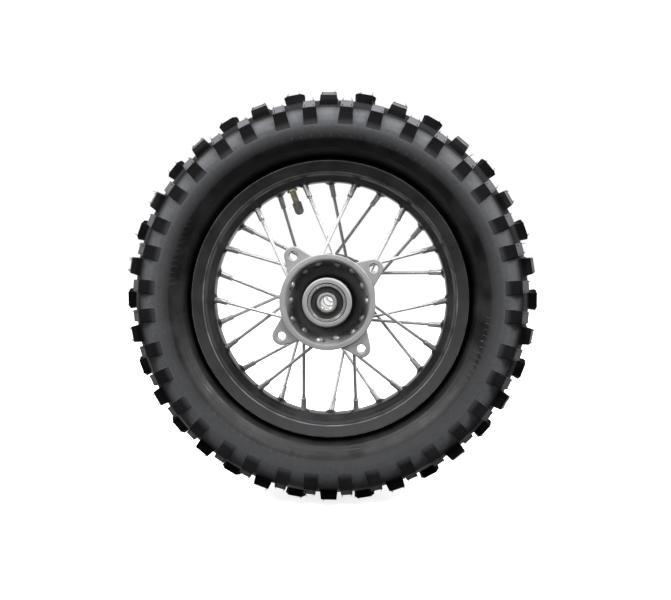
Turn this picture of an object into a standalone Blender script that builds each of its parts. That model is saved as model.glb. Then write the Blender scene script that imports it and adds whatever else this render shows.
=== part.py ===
"""Spoked wheel of a small off-road motorcycle: 3.00-10 knobbly tyre, 1.60 x 10 rim, 28 spokes and a
cast hub on two 12 x 37 x 12 sealed ball bearings.

Frame: the origin is the wheel's centre, the axle line is Y and +Z is up. The lug side, called near,
faces -Y. Sizes are in millimetres and degrees, and the mesh builders turn them into metres. Angles
go round the axle from +X towards +Z, as seen from the near side.
"""

import math

import bmesh
import bpy
from mathutils import Matrix, Vector

MM = 0.001
GAP = 0.3  # clearance left between pieces that touch

# ---------------------------------------------------------------- driving dimensions
TYRE_RADIUS = 206.5  # over the centre knobs, 413 across
CASING_RADIUS = 199.0
TYRE_HALF_WIDTH = 42.0
BEAD_RADIUS = 127.5
TREAD_PITCHES = 18  # a pitch holds a centre knob, a pair of side knobs and two pairs of shoulder knobs
TYRE_SEGMENTS = 36
TUBE_SEGMENTS = 24

RIM_LIP_RADIUS = 137.5
RIM_BEAD_SEAT = 126.6
RIM_INSIDE = 20.3  # half the width between the flanges, 1.60 in
RIM_WELL_OUTER = 119.8
RIM_WELL_INNER = 117.8
RIM_SEGMENTS = 42

SPOKES_PER_FLANGE = 14
SPOKE_PITCH = 360 / SPOKES_PER_FLANGE
SPOKE_RADIUS = 1.6
SPOKE_HEAD_RADIUS = 3.0
SPOKE_SIDES = 6
NIPPLE_RADIUS = 2.8
NIPPLE_HEAD_RADIUS = 3.4
NIPPLE_LENGTH = 19.0  # from its head's underside to its hub end
NIPPLE_SEAT_RADIUS = 121.6
NIPPLE_OFFSET = 3.5  # rim holes lie this far either side of the centre plane
OUTER_ROW = (39.5, 39.9)  # (distance from the centre plane, radius) of the heads' seats
INNER_ROW = (33.5, 38.5)

HUB_END = 57.0
HUB_SEGMENTS = 28
BOSS_RADIUS = 23.5
FLANGE_FACE = 51.0
FLANGE_RADIUS = 46.0
FLANGE_MOUTH = 40.6
FLANGE_WALL = 43.5
WALL_CORE_RADIUS = 42.0  # a circle that stays inside the flange wall's metal
HUB_WAIST = 27.0

LUG_PHASE = 36.3
LUG_CIRCLE = 55.0
LUG_TIP_RADIUS = 9.0
LUG_HOLE_RADIUS = 4.0
LUG_SPAN = (-49.0, -42.0)
LUG_SPREAD = 20.0  # how far round the flange each lug's flanks reach, either side of its middle
PAD_PHASE = 54.0
PAD_CIRCLE = 40.5
PAD_RADIUS = 6.5
PAD_HOLE_RADIUS = 2.6
PAD_SPAN = (44.6, 52.0)

BEARING_END = 56.0
BEARING_WIDTH = 12.0
BEARING_BORE = 6.0
BEARING_RADIUS = 18.5
INNER_RING_RADIUS = 9.75
OUTER_RING_INSIDE = 15.2
BALL_CIRCLE = 12.25
BALL_RADIUS = 3.969
BALLS = 7
GROOVE_PLAY = 0.35
BEARING_SEGMENTS = 20
SPACER_RADIUS = 8.5

VALVE_ANGLE = 8.5 * SPOKE_PITCH / 2
VALVE_STEM_RADIUS = 3.5
VALVE_STEM_TIP = 94.0
VALVE_CAP_OPEN = 106.7
VALVE_CAP_TOP = 91.4
VALVE_CAP_RADIUS = 4.7
VALVE_SIDES = 12

# Each finish: colour, roughness, metallic.
FINISHES = {
    "tyre_rubber": ((0.012, 0.012, 0.014), 0.55, 0.0),
    "tube_rubber": ((0.015, 0.015, 0.016), 0.45, 0.0),
    "band_rubber": ((0.02, 0.02, 0.02), 0.7, 0.0),
    "black_enamel": ((0.012, 0.012, 0.013), 0.28, 0.0),
    "cast_aluminium": ((0.36, 0.36, 0.36), 0.5, 0.7),
    "zinc_plate": ((0.6, 0.6, 0.58), 0.28, 1.0),
    "bearing_steel": ((0.5, 0.5, 0.5), 0.22, 1.0),
    "seal_rubber": ((0.01, 0.01, 0.012), 0.45, 0.0),
    "brass": ((0.45, 0.33, 0.12), 0.35, 1.0),
    "cap_plastic": ((0.02, 0.02, 0.02), 0.4, 0.0),
}


# ---------------------------------------------------------------- mesh builders
def clear_scene():
    """Empties the scene, whatever it opened with."""
    for old in list(bpy.data.objects):
        bpy.data.objects.remove(old, do_unlink=True)


def finish_material(name):
    """The Principled material of one finish, made once."""
    found = bpy.data.materials.get(name)
    if found:
        return found
    colour, roughness, metallic = FINISHES[name]
    made = bpy.data.materials.new(name)
    made.use_nodes = True
    shader = made.node_tree.nodes["Principled BSDF"]
    shader.inputs["Base Color"].default_value = (*colour, 1.0)
    shader.inputs["Roughness"].default_value = roughness
    shader.inputs["Metallic"].default_value = metallic
    return made


def mesh_from(name, bm, finish, sharp_above=35.0):
    """Turns a bmesh into a mesh with outward faces, smooth round its curves."""
    bmesh.ops.recalc_face_normals(bm, faces=bm.faces)
    mesh = bpy.data.meshes.new(name)
    bm.to_mesh(mesh)
    bm.free()
    mesh.shade_smooth()
    mesh.set_sharp_from_angle(angle=math.radians(sharp_above))
    mesh.materials.append(finish_material(finish))
    return mesh


def place(name, mesh, turn=0.0, helper=False):
    """An object of that mesh, turned about the axle by an angle in degrees."""
    made = bpy.data.objects.new(name, mesh)
    bpy.context.scene.collection.objects.link(made)
    made.rotation_euler = (0.0, -math.radians(turn), 0.0)
    if helper:
        made.hide_render = True
        made.display_type = "WIRE"
    return made


def combine(target, other, operation):
    """Adds a live Boolean to the target."""
    step = target.modifiers.new(operation.lower(), "BOOLEAN")
    step.operation = operation
    step.solver = "EXACT"
    step.object = other


def polar(radius, angle, y):
    """A point from its radius and angle round the axle and its place along it, in metres."""
    a = math.radians(angle)
    return Vector((radius * math.cos(a), y, radius * math.sin(a))) * MM


def spin_into(bm, corners, axis, steps):
    """Spins a closed outline of points about an axis through the origin into a ring."""
    verts = [bm.verts.new(corner) for corner in corners]
    edges = [bm.edges.new(pair) for pair in zip(verts, verts[1:] + verts[:1])]
    bmesh.ops.spin(bm, geom=verts + edges, cent=(0, 0, 0), axis=axis, angle=math.tau, steps=steps)
    bmesh.ops.remove_doubles(bm, verts=bm.verts, dist=1e-6)


def turned(name, outline, steps, finish):
    """A ring turned about the axle from a closed (radius, y) outline."""
    bm = bmesh.new()
    spin_into(bm, [polar(r, 0.0, y) for r, y in outline], (0, 1, 0), steps)
    return mesh_from(name, bm, finish)


def both_sides(half):
    """A closed (radius, y) outline from its near half, which stays off the centre plane."""
    return half + [(r, -y) for r, y in reversed(half)]


def bar_into(bm, rings, sides):
    """Joins rings of (centre, direction, radius) into one closed bar with flat ends."""
    loops = []
    for centre, direction, radius in rings:
        to_ring = direction.to_track_quat("Z", "Y").to_matrix()
        spots = [math.tau * k / sides for k in range(sides)]
        across = [Vector((math.cos(a), math.sin(a), 0.0)) * radius * MM for a in spots]
        loops.append([bm.verts.new(centre + to_ring @ spot) for spot in across])
    for low, high in zip(loops, loops[1:]):
        for k in range(sides):
            n = (k + 1) % sides
            bm.faces.new((low[k], low[n], high[n], high[k]))
    bm.faces.new(loops[0])
    bm.faces.new(loops[-1])


def prism_into(bm, low, high):
    """Joins two matching polygons into one closed block."""
    bottom = [bm.verts.new(corner) for corner in low]
    top = [bm.verts.new(corner) for corner in high]
    for k in range(len(bottom)):
        n = (k + 1) % len(bottom)
        bm.faces.new((bottom[k], bottom[n], top[n], top[k]))
    bm.faces.new(bottom)
    bm.faces.new(top)


def axial_bar_into(bm, angle, circle, radius, span, sides):
    """A straight bar parallel to the axle."""
    along = Vector((0.0, 1.0, 0.0))
    bar_into(bm, [(polar(circle, angle, y), along, radius) for y in span], sides)


# ---------------------------------------------------------------- tyre
def knob_into(bm, angle, section):
    """One knob: a (radius, y, half angle) section carried across the knob's width."""
    ends = [[polar(r, angle + side * half, y) for r, y, half in section] for side in (-1, 1)]
    prism_into(bm, *ends)


def build_tyre():
    """The casing with its beads, and the three kinds of moulded knob joined to it."""
    outside = [
        (BEAD_RADIUS, -13.0),
        (BEAD_RADIUS, -17.4),
        (130.2, -(RIM_INSIDE - 0.6)),
        (135.4, -(RIM_INSIDE - 0.6)),
        (140.2, -23.0),
        (146.4, -31.0),
        (156.0, -38.5),
        (168.0, -41.3),
        (179.0, -39.4),
        (188.0, -33.5),
        (194.6, -22.0),
        (CASING_RADIUS - 0.6, -8.0),
    ]
    inside = [
        (138.0, -18.6),
        (154.0, -32.2),
        (168.0, -36.2),
        (180.0, -31.0),
        (188.6, -20.0),
        (193.5, -7.5),
    ]
    outline = both_sides(outside) + list(reversed(both_sides(inside)))
    tyre = place("tyre", turned("tyre", outline, TYRE_SEGMENTS, "tyre_rubber"))

    knobs = bmesh.new()
    pitch = 360 / TREAD_PITCHES
    centre_knob = [
        (194.0, -12.6, 3.5),
        (TYRE_RADIUS, -11.0, 2.9),
        (TYRE_RADIUS, 11.0, 2.9),
        (194.0, 12.6, 3.5),
    ]
    for row in range(TREAD_PITCHES):
        knob_into(knobs, row * pitch, centre_knob)
        for side in (-1, 1):
            side_knob = [
                (190.5, side * 14.0, 2.5),
                (204.6, side * 15.4, 2.1),
                (199.6, side * 28.6, 2.1),
                (186.0, side * 31.0, 2.5),
            ]
            knob_into(knobs, (row + 0.5) * pitch, side_knob)
            for share in (0.225, 0.775):
                shoulder_knob = [
                    (182.5, side * 34.0, 2.1),
                    (194.4, side * 33.0, 1.8),
                    (186.0, side * TYRE_HALF_WIDTH, 1.8),
                    (170.0, side * 40.4, 2.0),
                ]
                knob_into(knobs, (row + share) * pitch, shoulder_knob)
    knob_set = place("tyre_knob_set", mesh_from("tyre_knob_set", knobs, "tyre_rubber"), helper=True)
    combine(tyre, knob_set, "UNION")


# ---------------------------------------------------------------- tube and rim band
def valve_axis_cutter(name, radius, span):
    """A cutter along the valve's axis."""
    outward = polar(1.0, VALVE_ANGLE, 0.0).normalized()
    bm = bmesh.new()
    bar_into(bm, [(polar(r, VALVE_ANGLE, 0.0), outward, radius) for r in span], VALVE_SIDES)
    return place(name, mesh_from(name, bm, "brass"), helper=True)


def build_tube():
    """The inner tube: an inflated ring, hollow, and open where the valve is bonded in."""
    skin = [(127.6, -9.6), (137.6, -17.0), (154.0, -29.8), (168.0, -34.0), (178.6, -29.2), (190.6, -8.0)]
    air = [(130.4, -9.0), (154.6, -27.0), (168.0, -30.8), (177.0, -26.8), (188.0, -7.6)]
    tube = place("inner_tube", turned("inner_tube", both_sides(skin), TUBE_SEGMENTS, "tube_rubber"))
    hollow = turned("tube_air", both_sides(air), TUBE_SEGMENTS, "tube_rubber")
    combine(tube, place("tube_air", hollow, helper=True), "DIFFERENCE")
    combine(tube, valve_axis_cutter("tube_valve_hole", 5.4, (120.0, 135.0)), "DIFFERENCE")


def build_rim_strip():
    """The rubber strip over the nipple heads, which keeps them off the tube."""
    half = [(125.4, -8.8), (126.5, -8.8)]
    strip = place("rim_strip", turned("rim_strip", both_sides(half), SPOKES_PER_FLANGE * 2, "band_rubber"))
    combine(strip, valve_axis_cutter("strip_valve_hole", 4.5, (121.0, 131.0)), "DIFFERENCE")


# ---------------------------------------------------------------- spokes
# Spokes leave each flange in turn, one leaning forward from the outer row of holes and the next
# leaning back from the inner row, so each crosses one neighbour with a clear gap.
LEANS = ((1, OUTER_ROW), (-1, INNER_ROW))
# Where the first nipple of each flange is. The far flange is the near one mirrored.
FLANGES = {"near": (-1, SPOKE_PITCH), "far": (1, SPOKE_PITCH / 2)}


def spoke_line(flange, number):
    """The head's seat and the nipple's seat of one spoke of a flange."""
    side, first = FLANGES[flange]
    lean, (distance, seat_radius) = LEANS[number % 2]
    rim_angle = first + number * SPOKE_PITCH
    head = polar(seat_radius, rim_angle + lean * SPOKE_PITCH, side * distance)
    nipple = polar(NIPPLE_SEAT_RADIUS, rim_angle, side * NIPPLE_OFFSET)
    return head, nipple, (nipple - head).normalized()


def spoke_mesh(name, flange, number):
    """A straight headed spoke with its nipple screwed on, as one bar."""
    head, nipple, run = spoke_line(flange, number)
    nipple_end = nipple - run * NIPPLE_LENGTH * MM
    rings = [
        (head - run * 2.2 * MM, run, 1.7),
        (head, run, SPOKE_HEAD_RADIUS),
        (head, run, SPOKE_RADIUS),
        (nipple_end, run, SPOKE_RADIUS),
        (nipple_end, run, NIPPLE_RADIUS),
        (nipple, run, NIPPLE_RADIUS),
        (nipple, run, NIPPLE_HEAD_RADIUS),
        (nipple + run * 1.6 * MM, run, NIPPLE_HEAD_RADIUS - 0.4),
    ]
    bm = bmesh.new()
    bar_into(bm, rings, SPOKE_SIDES)
    return mesh_from(name, bm, "zinc_plate")


def build_spokes():
    """28 spokes: two shapes for each flange, each repeated seven times round."""
    for flange in FLANGES:
        shapes = [spoke_mesh(f"spoke_{flange}_shape_{lean}", flange, lean) for lean in (0, 1)]
        for number in range(SPOKES_PER_FLANGE):
            turn = number // 2 * 2 * SPOKE_PITCH
            place(f"spoke_{flange}_{number + 1:02d}", shapes[number % 2], turn)


def every_spoke_line():
    return [spoke_line(flange, number) for flange in FLANGES for number in range(SPOKES_PER_FLANGE)]


# ---------------------------------------------------------------- rim
def build_rim():
    """The rolled steel rim, with a hole for each nipple and one for the valve."""
    half = [
        (RIM_WELL_INNER, -8.0),
        (123.6, -13.0),
        (124.8, -19.6),
        (126.2, -21.9),
        (134.4, -22.2),
        (136.2, -24.0),
        (RIM_LIP_RADIUS, -23.8),
        (RIM_LIP_RADIUS, -22.6),
        (135.2, -RIM_INSIDE),
        (128.6, -RIM_INSIDE),
        (RIM_BEAD_SEAT, -18.6),
        (RIM_BEAD_SEAT, -13.4),
        (RIM_WELL_OUTER, -8.8),
    ]
    rim = place("rim", turned("rim", both_sides(half), RIM_SEGMENTS, "black_enamel"))
    holes = bmesh.new()
    for _, nipple, run in every_spoke_line():
        ends = [(nipple + run * reach * MM, run, NIPPLE_RADIUS + 0.5) for reach in (-12.0, 6.0)]
        bar_into(holes, ends, SPOKE_SIDES)
    hole_set = place("rim_nipple_holes", mesh_from("rim_nipple_holes", holes, "black_enamel"), helper=True)
    combine(rim, hole_set, "DIFFERENCE")
    combine(rim, valve_axis_cutter("rim_valve_hole", 4.3, (110.0, 126.0)), "DIFFERENCE")


# ---------------------------------------------------------------- hub
def lug_outline(angle, steps=6):
    """An ear: a round tip, straight flanks from it to the flange ring, and a root in the wall.

    The tip's arc ends where a flank leaves it as a tangent.
    """
    spread = math.radians(LUG_SPREAD)
    foot = Vector((FLANGE_RADIUS * math.cos(spread) - LUG_CIRCLE, FLANGE_RADIUS * math.sin(spread)))
    tangent = math.degrees(math.atan2(foot.y, foot.x) - math.acos(LUG_TIP_RADIUS / foot.length))
    middle = polar(LUG_CIRCLE, angle, 0.0)
    sweep = [2 * k / steps - 1 for k in range(steps + 1)]
    tip = [middle + polar(LUG_TIP_RADIUS, angle + tangent * share, 0.0) for share in sweep]
    flank = [polar(FLANGE_RADIUS - 0.4, angle + LUG_SPREAD * share, 0.0) for share in (1, -1)]
    root = [polar(WALL_CORE_RADIUS, angle + LUG_SPREAD * share, 0.0) for share in (1, 0, -1)]
    return tip + flank[:1] + root + flank[1:]


def build_hub():
    """The cast hub: two dished flanges, a waist, bearing pockets, lugs, pads and spoke holes."""
    pocket = BEARING_RADIUS + GAP
    shoulder = BEARING_END - BEARING_WIDTH - GAP
    half = [
        (14.6, -shoulder),
        (pocket, -shoulder),
        (pocket, -HUB_END),
        (BOSS_RADIUS - 1.0, -HUB_END),
        (BOSS_RADIUS, -(HUB_END - 1.0)),
        (BOSS_RADIUS + 0.4, -29.0),
        (27.6, -24.8),
        (34.0, -25.6),
        (37.4, -30.0),
        (39.7, -40.0),
        (FLANGE_MOUTH, -FLANGE_FACE),
        (FLANGE_RADIUS, -FLANGE_FACE),
        (FLANGE_RADIUS, -45.6),
        (FLANGE_WALL, -44.2),
        (FLANGE_WALL - 0.4, -28.0),
        (40.0, -22.4),
        (31.6, -18.0),
        (HUB_WAIST, -10.0),
    ]
    hub = place("hub", turned("hub", both_sides(half), HUB_SEGMENTS, "cast_aluminium"))

    lugs = bmesh.new()
    holes = bmesh.new()
    for quarter in range(4):
        angle = LUG_PHASE + 90 * quarter
        outline = lug_outline(angle)
        ends = [[corner + Vector((0.0, y * MM, 0.0)) for corner in outline] for y in LUG_SPAN]
        prism_into(lugs, *ends)
        axial_bar_into(holes, angle, LUG_CIRCLE, LUG_HOLE_RADIUS, (-55.0, -36.0), 12)
        angle = PAD_PHASE + 90 * quarter
        axial_bar_into(lugs, angle, PAD_CIRCLE, PAD_RADIUS, PAD_SPAN, 12)
        axial_bar_into(holes, angle, PAD_CIRCLE, PAD_HOLE_RADIUS, (PAD_SPAN[0] + 1.4, 58.0), 8)
    for head, _, run in every_spoke_line():
        inwards, seat = head - run * 7.0 * MM, head + run * GAP * MM
        rings = [
            (inwards, run, SPOKE_HEAD_RADIUS + 0.5),
            (seat, run, SPOKE_HEAD_RADIUS + 0.5),
            (seat, run, SPOKE_RADIUS + 0.5),
            (head + run * 14.0 * MM, run, SPOKE_RADIUS + 0.5),
        ]
        bar_into(holes, rings, SPOKE_SIDES)
    lug_set = place("hub_lugs", mesh_from("hub_lugs", lugs, "cast_aluminium"), helper=True)
    hole_set = place("hub_holes", mesh_from("hub_holes", holes, "cast_aluminium"), helper=True)
    combine(hub, lug_set, "UNION")
    combine(hub, hole_set, "DIFFERENCE")


# ---------------------------------------------------------------- bearings
def groove(land, middle, bottom):
    """The points of a raceway, from one land over the bottom to the other."""
    mouth, floor = 3.2, 1.2
    return [(land, middle - mouth), (bottom, middle - floor), (bottom, middle + floor), (land, middle + mouth)]


def build_bearing(name, side):
    """A sealed deep-groove ball bearing: two rings, balls in their cage, and two rubber seals."""
    middle = side * (BEARING_END - BEARING_WIDTH / 2)
    half = BEARING_WIDTH / 2

    def ring(piece, outline, finish):
        label = f"{name}_bearing_{piece}"
        return place(label, turned(label, outline, BEARING_SEGMENTS, finish))

    low, high = middle - half, middle + half
    inner_bottom = BALL_CIRCLE - BALL_RADIUS - GROOVE_PLAY
    inner = [(BEARING_BORE, high), (BEARING_BORE, low), (INNER_RING_RADIUS, low)]
    inner += groove(INNER_RING_RADIUS, middle, inner_bottom) + [(INNER_RING_RADIUS, high)]
    ring("inner_ring", inner, "bearing_steel")

    outer_bottom = BALL_CIRCLE + BALL_RADIUS + GROOVE_PLAY
    step = OUTER_RING_INSIDE + 1.0
    outer = [(BEARING_RADIUS, high), (BEARING_RADIUS, low), (step, low), (step, low + 1.6)]
    outer += [(OUTER_RING_INSIDE, low + 1.6)] + groove(OUTER_RING_INSIDE, middle, outer_bottom)
    outer += [(OUTER_RING_INSIDE, high - 1.6), (step, high - 1.6), (step, high)]
    ring("outer_ring", outer, "bearing_steel")

    for piece, outward in (("outside_seal", side), ("inside_seal", -side)):
        face, back = middle + outward * (half - 0.3), middle + outward * (half - 1.2)
        across = (INNER_RING_RADIUS + GAP, step - 0.4)
        ring(piece, [(across[0], face), (across[1], face), (across[1], back), (across[0], back)], "seal_rubber")

    cage_outline = [(11.6, middle - 1.4), (12.9, middle - 1.4), (12.9, middle + 1.4), (11.6, middle + 1.4)]
    label = f"{name}_bearing_ball_cage"
    cage = place(label, turned(label, cage_outline, 3 * BALLS, "bearing_steel"))
    balls = bmesh.new()
    for k in range(BALLS):
        at = Matrix.Translation(polar(BALL_CIRCLE, k * 360 / BALLS, middle))
        bmesh.ops.create_uvsphere(balls, u_segments=6, v_segments=4, radius=BALL_RADIUS * MM, matrix=at)
    ball_set = place(f"{name}_balls", mesh_from(f"{name}_balls", balls, "bearing_steel"), helper=True)
    combine(cage, ball_set, "UNION")


def build_spacer():
    """The tube that holds the two inner rings apart when the axle is tightened."""
    end = BEARING_END - BEARING_WIDTH - GAP
    wide, narrow, step_at = BEARING_BORE + 0.7, BEARING_BORE + 0.2, -8.0
    outline = [(SPACER_RADIUS, end), (SPACER_RADIUS, -end), (wide, -end), (wide, step_at)]
    outline += [(narrow, step_at), (narrow, end)]
    place("bearing_spacer", turned("bearing_spacer", outline, BEARING_SEGMENTS, "zinc_plate"))


# ---------------------------------------------------------------- valve
def valve_turned(name, outline, sides, finish):
    """A tube turned on the valve's axis, from a closed outline of (distance from axle, radius)."""
    bm = bmesh.new()
    spin_into(bm, [Vector((r, across, 0.0)) * MM for r, across in outline], (1, 0, 0), sides)
    return place(name, mesh_from(name, bm, finish), VALVE_ANGLE)


def valve_bar(name, steps, sides, finish):
    """A solid bar turned on the valve's axis, from steps of (distance from axle, radius)."""
    outward = Vector((1.0, 0.0, 0.0))
    bm = bmesh.new()
    bar_into(bm, [(polar(r, 0.0, 0.0), outward, radius) for r, radius in steps], sides)
    return place(name, mesh_from(name, bm, finish), VALVE_ANGLE)


def build_valve():
    """The tube's valve: bonded stem, rim nut, screw-in core with its pin, and the cap."""
    tip, foot, bore = VALVE_STEM_TIP, 130.4, 2.3
    stem = [(tip, bore), (tip, VALVE_STEM_RADIUS - 0.5), (tip + 0.6, VALVE_STEM_RADIUS)]
    stem += [(foot - 2.4, VALVE_STEM_RADIUS), (foot - 2.4, 5.0), (foot, 5.0), (foot, bore)]
    valve_turned("valve_stem", stem, VALVE_SIDES, "brass")

    low, high = RIM_WELL_INNER - 3.8, RIM_WELL_INNER - 1.0
    nut = valve_bar("valve_rim_nut", [(low, 5.4), (high, 5.4)], 6, "brass")
    nut_thread = valve_axis_cutter("nut_thread", VALVE_STEM_RADIUS + GAP, (low - 4.0, high + 4.0))
    combine(nut, nut_thread, "DIFFERENCE")

    core = (tip + 1.0, tip + 16.0)
    wall = (0.85, bore - GAP)
    corners = [(core[0], wall[0]), (core[0], wall[1]), (core[1], wall[1]), (core[1], wall[0])]
    valve_turned("valve_core", corners, 8, "brass")
    seat = core[1] + GAP
    valve_bar("valve_pin", [(tip + 0.2, 0.5), (seat, 0.5), (seat, 1.4), (seat + 1.0, 1.4)], 6, "brass")

    roof = tip - 1.2
    cap_bore = VALVE_STEM_RADIUS + GAP
    steps = [
        (VALVE_CAP_OPEN, VALVE_CAP_RADIUS),
        (VALVE_CAP_TOP + 1.8, VALVE_CAP_RADIUS),
        (VALVE_CAP_TOP, VALVE_CAP_RADIUS - 1.6),
    ]
    cap = valve_bar("valve_cap", steps, VALVE_SIDES, "cap_plastic")
    combine(cap, valve_axis_cutter("cap_bore", cap_bore, (roof, VALVE_CAP_OPEN + 4.0)), "DIFFERENCE")


def main():
    clear_scene()
    build_tyre()
    build_tube()
    build_rim_strip()
    build_rim()
    build_spokes()
    build_hub()
    build_bearing("near", -1)
    build_bearing("far", 1)
    build_spacer()
    build_valve()


main()
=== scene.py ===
import bmesh
import bpy
import numpy as np
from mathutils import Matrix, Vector


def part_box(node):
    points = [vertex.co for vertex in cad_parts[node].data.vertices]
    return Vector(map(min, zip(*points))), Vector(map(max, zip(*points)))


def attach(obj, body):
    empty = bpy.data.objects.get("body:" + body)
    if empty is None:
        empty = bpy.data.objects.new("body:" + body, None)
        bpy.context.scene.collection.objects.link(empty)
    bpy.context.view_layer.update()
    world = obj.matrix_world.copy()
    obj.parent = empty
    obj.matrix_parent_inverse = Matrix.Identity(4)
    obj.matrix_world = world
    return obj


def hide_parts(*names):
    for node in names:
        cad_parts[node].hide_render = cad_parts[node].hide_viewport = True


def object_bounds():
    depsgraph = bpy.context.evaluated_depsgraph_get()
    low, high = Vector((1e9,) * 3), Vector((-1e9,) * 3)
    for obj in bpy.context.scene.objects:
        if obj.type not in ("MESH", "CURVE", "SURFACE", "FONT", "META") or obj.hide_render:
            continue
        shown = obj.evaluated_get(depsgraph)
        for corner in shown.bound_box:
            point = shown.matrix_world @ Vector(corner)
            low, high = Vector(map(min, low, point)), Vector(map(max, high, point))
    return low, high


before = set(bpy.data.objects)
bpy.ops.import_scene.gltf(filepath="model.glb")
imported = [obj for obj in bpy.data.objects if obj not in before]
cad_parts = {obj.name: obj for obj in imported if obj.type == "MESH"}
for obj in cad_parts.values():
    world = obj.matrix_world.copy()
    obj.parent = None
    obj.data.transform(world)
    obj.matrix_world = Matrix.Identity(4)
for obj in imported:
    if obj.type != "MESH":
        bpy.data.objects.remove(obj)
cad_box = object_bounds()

MM = 0.001  # sizes below are in millimetres, angles in degrees round the axle from +X towards +Z

# ======== camera and studio
# A wheel stood on white paper, seen nearly square on from its lug side. Two soft lights high on
# the left and right do most of the work. The room in front is dark and the one behind is pale.
CAMERA_AZIMUTH = 3.2
CAMERA_ELEVATION = 4.0
CAMERA_DISTANCE = 757.0
CAMERA_LENS = 39.75
CAMERA_SHIFT = (0.0079, -0.0018)
FLOOR_RADIUS = 6000.0
FLOOR_FADE = (250.0, 900.0)  # from the wheel's centre, the distances over which the paper brightens
ROOM_WHITE = 1.0  # what the camera sees round the wheel
ROOM_BEHIND = 1.0  # what lights the wheel from behind, and from in front
ROOM_FRONT = 0.05
ROOM_TURN = 0.7  # how far back the room is fully pale, with 1 for straight behind the wheel
LIGHTS = {
    # name: (place, size across, watts)
    "left_softbox": ((-1250.0, -620.0, 1250.0), 800.0, 30.0),
    "right_softbox": ((1250.0, -620.0, 1250.0), 800.0, 38.0),
    "top_softbox": ((0.0, -250.0, 1700.0), 1100.0, 30.0),
    "front_fill": ((-300.0, -2200.0, 500.0), 1600.0, 9.0),
    "front_spark": ((-600.0, -1300.0, 700.0), 240.0, 1.8),
}


def linear(colour):
    """An sRGB hex colour as linear red, green, blue and alpha."""
    shares = np.array([int(colour[k:k + 2], 16) for k in (1, 3, 5)]) / 255
    return (*np.where(shares <= 0.04045, shares / 12.92, ((shares + 0.055) / 1.055) ** 2.4), 1.0)


def add(tree, kind, inputs=None, **settings):
    """Adds one ShaderNode of a kind, with its settings. Each input is a number, a hex colour, the
    socket that feeds it, or a node, whose first output in use feeds it. A MapRange takes 0 value,
    1 and 2 from, 3 and 4 to. A Mix takes 0 share, then 2 and 3 for numbers, 6 and 7 for colours."""
    node = tree.nodes.new("ShaderNode" + kind)
    for key, value in settings.items():
        setattr(node, key, value)
    for key, value in (inputs or {}).items():
        if isinstance(value, bpy.types.Node):
            value = next(output for output in value.outputs if output.enabled)
        elif isinstance(value, str):
            value = linear(value)
        if isinstance(value, bpy.types.NodeSocket):
            tree.links.new(value, node.inputs[key])
        else:
            node.inputs[key].default_value = value
    return node


def new_finish(name):
    """An empty material, its node tree, and the socket that gives a point's own coordinates."""
    made = bpy.data.materials.new(name)
    made.use_nodes = True
    made.node_tree.nodes.clear()
    return made, made.node_tree, add(made.node_tree, "TexCoord").outputs["Object"]


def grid(points, wrap_rows=False, wrap_columns=False):
    """Quads over an array of points, shaped (..., rows, columns, 3), one sheet for each leading
    place: a quad joins (i, j), (i, j + 1), (i + 1, j + 1) and (i + 1, j)."""
    index = np.arange(points[..., 0].size).reshape(points.shape[:-1])
    if wrap_rows:
        index = np.concatenate([index, index[..., :1, :]], -2)
    if wrap_columns:
        index = np.concatenate([index, index[..., :1]], -1)
    corners = [index[..., :-1, :-1], index[..., :-1, 1:], index[..., 1:, 1:], index[..., 1:, :-1]]
    return points.reshape(-1, 3), np.stack(corners, -1).reshape(-1, 4)


CREASE = 35.0  # edges that turn further than this stay crisp


def make_piece(name, shells, finish, sharp=CREASE):
    """One object from shells of (points in millimetres, quads). Points that meet become one, so
    poles and seams close, the faces turn outwards, and edges over the sharp angle stay crisp."""
    starts = np.cumsum([0] + [len(points) for points, _ in shells])
    points = np.concatenate([points for points, _ in shells]) * MM
    quads = np.concatenate([quads + start for (_, quads), start in zip(shells, starts)])
    mesh = bpy.data.meshes.new(name)
    mesh.from_pydata(points, [], quads)
    closed = bmesh.new()
    closed.from_mesh(mesh)
    bmesh.ops.remove_doubles(closed, verts=closed.verts, dist=1e-6)
    bmesh.ops.dissolve_degenerate(closed, edges=closed.edges, dist=1e-7)
    bmesh.ops.recalc_face_normals(closed, faces=closed.faces)
    closed.to_mesh(mesh)
    closed.free()
    mesh.shade_smooth()
    mesh.set_sharp_from_angle(angle=np.radians(sharp))
    mesh.materials.append(finish)
    made = bpy.data.objects.new(name, mesh)
    bpy.context.scene.collection.objects.link(made)
    return made


# Matt white paper, brighter away from the wheel, so that it runs into the room with no edge.
paper, tree, spot = new_finish("white_backdrop_paper")
away = add(tree, "VectorMath", {0: spot}, operation="LENGTH")
bright_from, bright_to = FLOOR_FADE
fade = add(tree, "MapRange", {0: away, 1: bright_from * MM, 2: bright_to * MM, 3: 0.8, 4: 1.0})
bsdf = add(tree, "BsdfPrincipled", {
    "Base Color": "#e8e8e8", "Roughness": 0.9, "Specular IOR Level": 0.1,
    "Emission Color": "#ffffff", "Emission Strength": fade,
})
add(tree, "OutputMaterial", {0: bsdf})

around = np.radians(np.linspace(0, 360, 96, endpoint=False))
reach = np.array([0.0, 400.0, 1200.0, FLOOR_RADIUS])[:, None]
floor_level = cad_box[0].z / MM
disc = np.stack([reach * np.cos(around), reach * np.sin(around), 0 * reach + floor_level + 0 * around], -1)
floor = make_piece("paper_floor", [grid(disc, wrap_columns=True)], paper)
floor.visible_diffuse = floor.visible_glossy = False

for name, (place, size, watts) in LIGHTS.items():
    lamp = bpy.data.lights.new(name, "AREA")
    lamp.shape = "DISK"
    lamp.size = size * MM
    lamp.energy = watts
    holder = bpy.data.objects.new(name, lamp)
    holder.location = Vector(place) * MM
    holder.rotation_euler = (-Vector(place)).to_track_quat("-Z", "Y").to_euler()
    bpy.context.scene.collection.objects.link(holder)

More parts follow.
